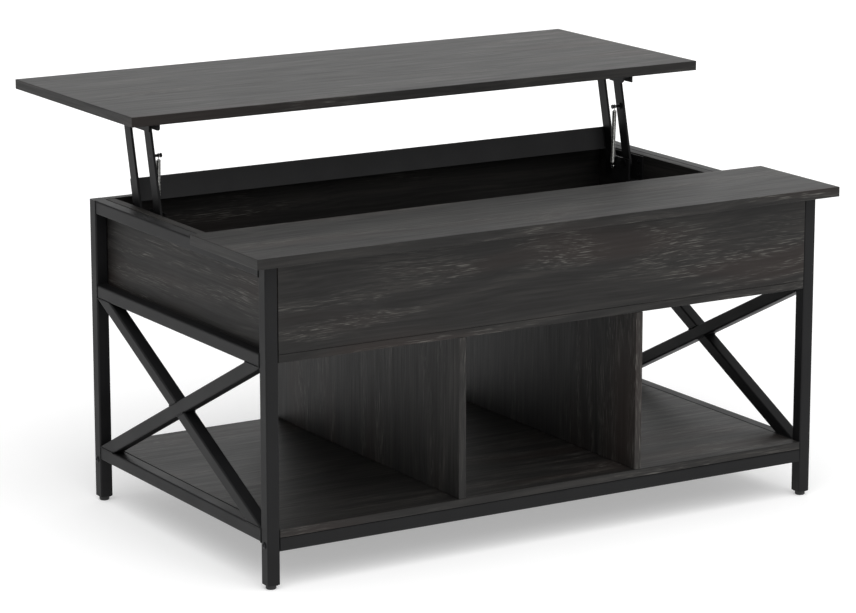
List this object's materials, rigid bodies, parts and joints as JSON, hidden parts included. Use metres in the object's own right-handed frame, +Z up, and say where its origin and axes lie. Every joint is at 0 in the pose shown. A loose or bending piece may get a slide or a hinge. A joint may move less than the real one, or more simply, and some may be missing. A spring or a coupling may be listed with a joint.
{
  "type": "lift top coffee table",
  "caption": "Coffee table with X-braced steel end frames, an open divided shelf and a top whose rear part lifts and moves back over a hidden compartment.",
  "frame": {"origin": "on the floor, at the centre of the bounding box of the table with its top raised", "axes": "+X along the table to the right, -Y towards the fixed front strip, +Z up"},
  "size_m": [1, 0.7752, 0.6256],
  "materials": {
    "laminate": "black oak wood-grain laminate on particle board, semi-matt",
    "powder_coat": "fine-textured black powder coat, semi-matt",
    "zinc": "zinc plated spring wire, satin",
    "dark_steel": "black oxide on steel, slightly oily",
    "plastic": "moulded black plastic"
  },
  "bodies": {
    "table": {"fixed_top_strip": "laminate", "front_apron": "laminate", "back_apron": "laminate", "left_side_panel": "laminate", "right_side_panel": "laminate", "compartment_floor": "laminate", "bottom_shelf": "laminate", "left_divider": "laminate", "right_divider": "laminate", "front_bottom_rail": "powder_coat", "back_bottom_rail": "powder_coat", "left_front_post": "powder_coat", "left_back_post": "powder_coat", "left_top_rail": "powder_coat", "left_mid_rail": "powder_coat", "left_bottom_rail": "powder_coat", "left_brace_long": "powder_coat", "left_brace_upper": "powder_coat", "left_brace_lower": "powder_coat", "right_front_post": "powder_coat", "right_back_post": "powder_coat", "right_top_rail": "powder_coat", "right_mid_rail": "powder_coat", "right_bottom_rail": "powder_coat", "right_brace_long": "powder_coat", "right_brace_upper": "powder_coat", "right_brace_lower": "powder_coat", "left_front_glide": "plastic", "left_back_glide": "plastic", "right_front_glide": "plastic", "right_back_glide": "plastic", "left_base_bracket": "powder_coat", "right_base_bracket": "powder_coat", "left_rear_base_pin": "dark_steel", "right_rear_base_pin": "dark_steel", "left_front_base_pin": "dark_steel", "right_front_base_pin": "dark_steel", "left_spring_anchor": "dark_steel", "right_spring_anchor": "dark_steel"},
    "rear_arms": {"left_rear_arm": "powder_coat", "right_rear_arm": "powder_coat", "arm_stretcher": "powder_coat"},
    "left_front_link": {"left_front_arm": "powder_coat", "left_spring_pin": "dark_steel"},
    "right_front_link": {"right_front_arm": "powder_coat", "right_spring_pin": "dark_steel"},
    "raised_top": {"lift_top": "laminate", "left_top_bracket": "powder_coat", "right_top_bracket": "powder_coat", "left_rear_top_pin": "dark_steel", "right_rear_top_pin": "dark_steel", "left_front_top_pin": "dark_steel", "right_front_top_pin": "dark_steel"},
    "left_spring_coil": {"left_spring": "zinc"},
    "right_spring_coil": {"right_spring": "zinc"},
    "left_spring_end": {"left_spring_hook": "zinc"},
    "right_spring_end": {"right_spring_hook": "zinc"}
  },
  "joints": [
    {"name": "lift", "type": "hinge", "parent": "table", "child": "rear_arms", "pos_m": [0, 0.11844, 0.45748], "axis": [1, 0, 0], "range_deg": [0, 104.5]},
    {"name": "top_level", "type": "hinge", "parent": "rear_arms", "child": "raised_top", "pos_m": [0, 0.15159, 0.59555], "axis": [1, 0, 0], "range_deg": [-104.5, 0]},
    {"name": "left_front_swing", "type": "hinge", "parent": "table", "child": "left_front_link", "pos_m": [-0.4217, 0.06344, 0.45748], "axis": [1, 0, 0], "range_deg": [0, 104.5]},
    {"name": "right_front_swing", "type": "hinge", "parent": "table", "child": "right_front_link", "pos_m": [0.4217, 0.06344, 0.45748], "axis": [1, 0, 0], "range_deg": [0, 104.5]},
    {"name": "left_spring_swing", "type": "hinge", "parent": "table", "child": "left_spring_coil", "pos_m": [-0.4093, 0.08844, 0.44798], "axis": [1, 0, 0], "range_deg": [0, 84]},
    {"name": "right_spring_swing", "type": "hinge", "parent": "table", "child": "right_spring_coil", "pos_m": [0.4093, 0.08844, 0.44798], "axis": [1, 0, 0], "range_deg": [0, 84]},
    {"name": "left_spring_stretch", "type": "slide", "parent": "left_spring_coil", "child": "left_spring_end", "axis": [0, -0.0383, 0.9993], "range_m": [0, 0.0184], "deforming": ["left_spring", "left_spring_hook"]},
    {"name": "right_spring_stretch", "type": "slide", "parent": "right_spring_coil", "child": "right_spring_end", "axis": [0, -0.0383, 0.9993], "range_m": [0, 0.0184], "deforming": ["right_spring", "right_spring_hook"]}
  ],
  "couplings": [
    {"joint": "top_level", "follows": "lift", "ratio": -1},
    {"joint": "left_front_swing", "follows": "lift", "ratio": 1},
    {"joint": "right_front_swing", "follows": "lift", "ratio": 1},
    {"joint": "left_spring_swing", "follows": "lift", "ratio": 0.80289},
    {"joint": "right_spring_swing", "follows": "lift", "ratio": 0.80289},
    {"joint": "left_spring_stretch", "follows": "lift", "m_per_rad": 0.0099777},
    {"joint": "right_spring_stretch", "follows": "lift", "m_per_rad": 0.0099777}
  ]
}
